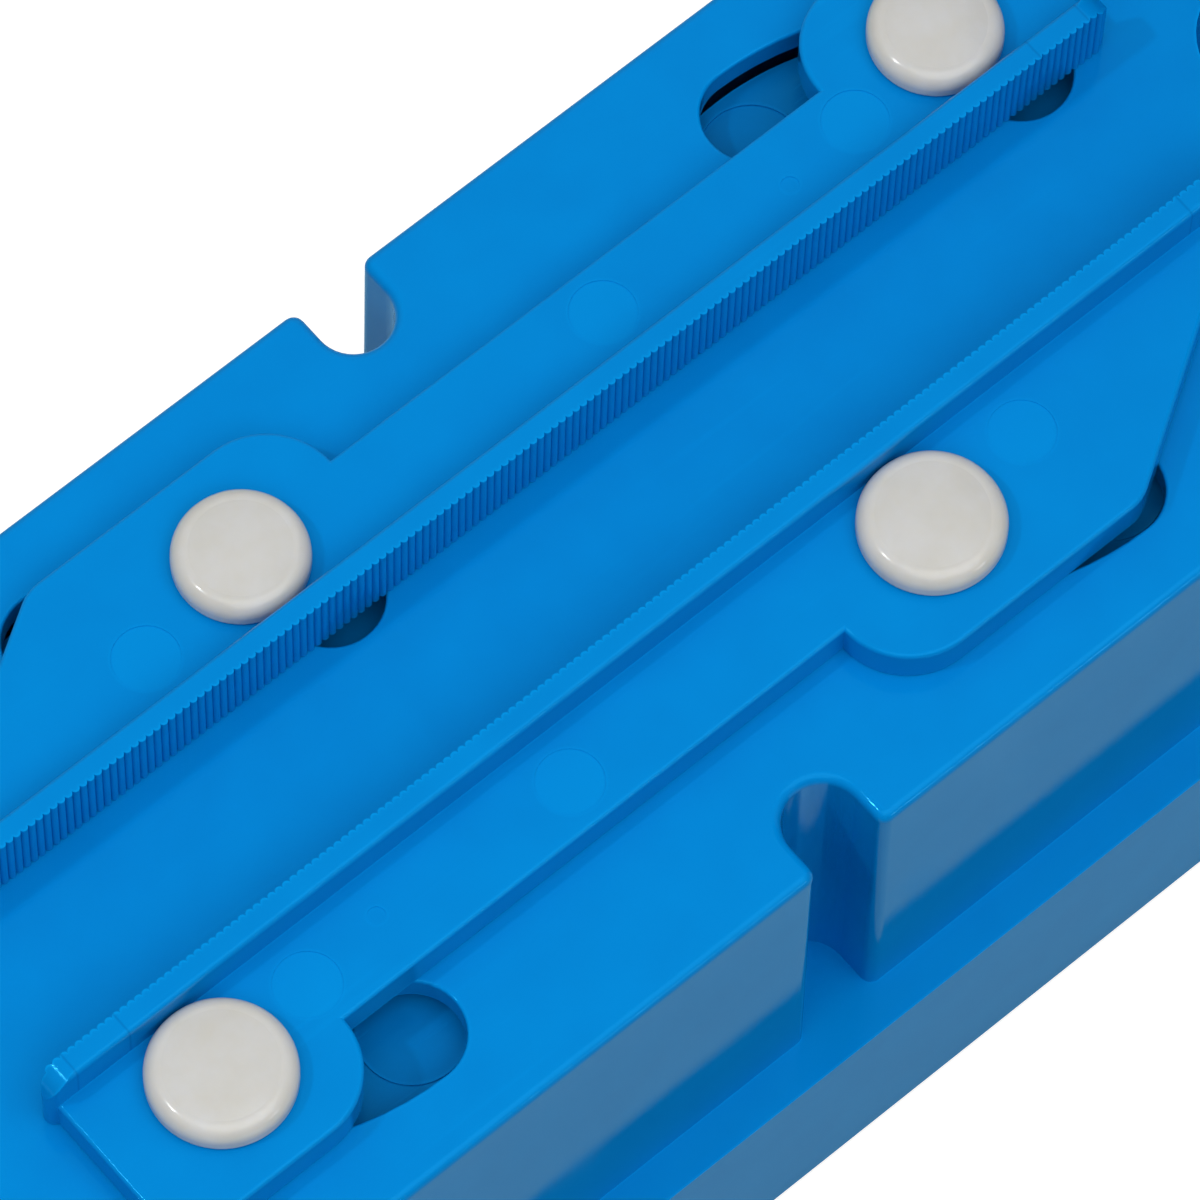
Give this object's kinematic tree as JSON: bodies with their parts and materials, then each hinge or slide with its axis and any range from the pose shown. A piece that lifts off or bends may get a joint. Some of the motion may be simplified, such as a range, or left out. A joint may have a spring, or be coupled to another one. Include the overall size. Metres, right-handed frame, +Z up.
{
  "type": "pill splitter",
  "caption": "Hand pill splitter: a tall block whose deck carries two ribbed self-centring guides on rotors for a row of tablets, with a hinged bladed lid standing open.",
  "frame": {"origin": "on the plane the feet stand on, under the middle of the block, midway between the two rotor axes", "axes": "+X along the row of tablets towards the lid's hinge, +Y across the row, +Z up out of the deck"},
  "size_m": [0.2094, 0.056, 0.1706],
  "materials": {
    "blue_body": "satin moulded blue plastic, fine grain",
    "blue_guide": "satin moulded blue plastic",
    "blue_rotor": "satin moulded blue plastic, a little darker",
    "blue_lid": "satin moulded blue plastic, fine grain",
    "blue_plate": "satin moulded blue plastic",
    "rivet": "off-white translucent nylon, smooth",
    "foot": "matt black rubber",
    "screw": "zinc-plated steel",
    "washer": "zinc-plated steel",
    "pin": "drawn steel",
    "blade": "ground stainless steel",
    "clamp": "satin moulded blue plastic"
  },
  "bodies": {
    "base": {"base_shell": "blue_body", "bottom_plate": "blue_plate", "bottom_plate_screws": "screw", "well_screws": "screw", "foot_near_left": "foot", "foot_near_right": "foot", "foot_far_left": "foot", "foot_far_right": "foot", "foot_middle": "foot", "rotor_screw_left": "screw", "rotor_screw_right": "screw", "rotor_washer_left": "washer", "rotor_washer_right": "washer", "hinge_pin": "pin"},
    "left_rotor": {"rotor_left": "blue_rotor"},
    "right_rotor": {"rotor_right": "blue_rotor"},
    "near_guide": {"guide_near": "blue_guide", "rivet_near_left": "rivet", "rivet_near_right": "rivet"},
    "far_guide": {"guide_far": "blue_guide", "rivet_far_left": "rivet", "rivet_far_right": "rivet"},
    "lid": {"lid_shell": "blue_lid", "blade": "blade", "blade_clamp": "clamp", "blade_screws": "screw"}
  },
  "joints": [
    {"name": "left_rotor_turn", "type": "hinge", "parent": "base", "child": "left_rotor", "pos_m": [-0.028, 0, 0.0373], "axis": [0, 0, 1], "range_deg": [-19, 41.5]},
    {"name": "right_rotor_turn", "type": "hinge", "parent": "base", "child": "right_rotor", "pos_m": [0.028, 0, 0.0373], "axis": [0, 0, 1], "range_deg": [-19, 41.5]},
    {"name": "near_guide_turn", "type": "hinge", "parent": "left_rotor", "child": "near_guide", "pos_m": [-0.03917, -0.01262, 0.0416], "axis": [0, 0, 1], "range_deg": [-41.5, 19]},
    {"name": "far_guide_turn", "type": "hinge", "parent": "left_rotor", "child": "far_guide", "pos_m": [-0.01683, 0.01262, 0.0416], "axis": [0, 0, 1], "range_deg": [-41.5, 19]},
    {"name": "lid_hinge", "type": "hinge", "parent": "base", "child": "lid", "pos_m": [0.0735, 0, 0.02875], "axis": [0, -1, 0], "range_deg": [0, 105]}
  ],
  "couplings": [
    {"joint": "right_rotor_turn", "follows": "left_rotor_turn", "ratio": 1},
    {"joint": "near_guide_turn", "follows": "left_rotor_turn", "ratio": -1},
    {"joint": "far_guide_turn", "follows": "left_rotor_turn", "ratio": -1}
  ]
}
